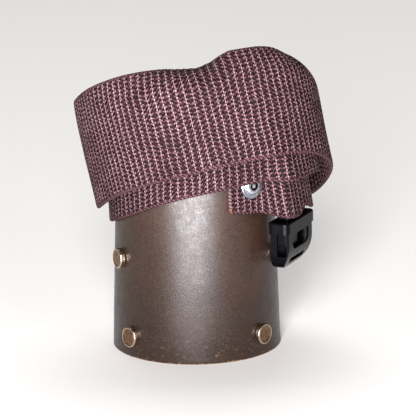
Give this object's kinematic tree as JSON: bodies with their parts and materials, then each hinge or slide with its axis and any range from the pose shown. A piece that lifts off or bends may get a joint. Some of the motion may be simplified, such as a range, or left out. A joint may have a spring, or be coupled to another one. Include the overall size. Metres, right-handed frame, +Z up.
{
  "type": "climbing spur cuff with wound strap",
  "caption": "Upright rolled leather leg cuff of a tree climbing spur, with riveted walls, a wide woven strap wound round its top and a side-release buckle.",
  "frame": {"origin": "centre of the cuff's lower rim, on the cuff's axis", "axes": "+Z up along the cuff's axis; -Y is the front, where the strap's start and its washer are seen; +X is the buckle's side"},
  "size_m": [0.1181, 0.1159, 0.1446],
  "materials": {
    "brown_leather": "satin, pigmented, fine metallic grain",
    "lining_leather": "matt suede side",
    "plum_webbing": "coarse woven, dry",
    "nickel_plate": "satin nickel",
    "zinc_plate": "bright zinc",
    "steel_stem": "bare snapped steel",
    "black_acetal": "moulded, glossy"
  },
  "bodies": {
    "cuff": {"cuff_shell": "brown_leather", "cuff_liner": "lining_leather", "seam_strip": "brown_leather", "wide_strap": "plum_webbing", "strap_washer": "zinc_plate", "strap_rivet": "zinc_plate", "strap_rivet_stem": "steel_stem", "strap_back_washer": "zinc_plate", "buckle_plug": "black_acetal", "buckle_tab": "plum_webbing", "tab_rivet": "nickel_plate", "tab_rivet_back": "nickel_plate", "cap_rivet_1": "nickel_plate", "cap_rivet_2": "nickel_plate", "cap_rivet_3": "nickel_plate", "cap_rivet_4": "nickel_plate", "cap_rivet_back_1": "nickel_plate", "cap_rivet_back_2": "nickel_plate", "cap_rivet_back_3": "nickel_plate", "cap_rivet_back_4": "nickel_plate", "seam_rivet_1": "nickel_plate", "seam_rivet_2": "nickel_plate", "seam_rivet_3": "nickel_plate", "seam_rivet_4": "nickel_plate", "seam_rivet_back_1": "nickel_plate", "seam_rivet_back_2": "nickel_plate", "seam_rivet_back_3": "nickel_plate", "seam_rivet_back_4": "nickel_plate"},
    "socket": {"buckle_socket": "black_acetal"},
    "arm_right": {"plug_arm_right": "black_acetal"},
    "arm_left": {"plug_arm_left": "black_acetal"}
  },
  "joints": [
    {"name": "arm_right_squeeze", "type": "hinge", "parent": "cuff", "child": "arm_right", "pos_m": [0.04072, -0.02557, 0.065], "axis": [0.9135, -0.4067, 0], "range_deg": [0, 9], "stiffness_Nm_per_rad": 0.08},
    {"name": "arm_left_squeeze", "type": "hinge", "parent": "cuff", "child": "arm_left", "pos_m": [0.04625, -0.01315, 0.065], "axis": [-0.9135, 0.4067, 0], "range_deg": [0, 9], "stiffness_Nm_per_rad": 0.08},
    {"name": "socket_release", "type": "slide", "parent": "cuff", "child": "socket", "axis": [0, 0, -1], "range_m": [0, 0.024], "deforming": ["plug_arm_right", "plug_arm_left"]}
  ]
}
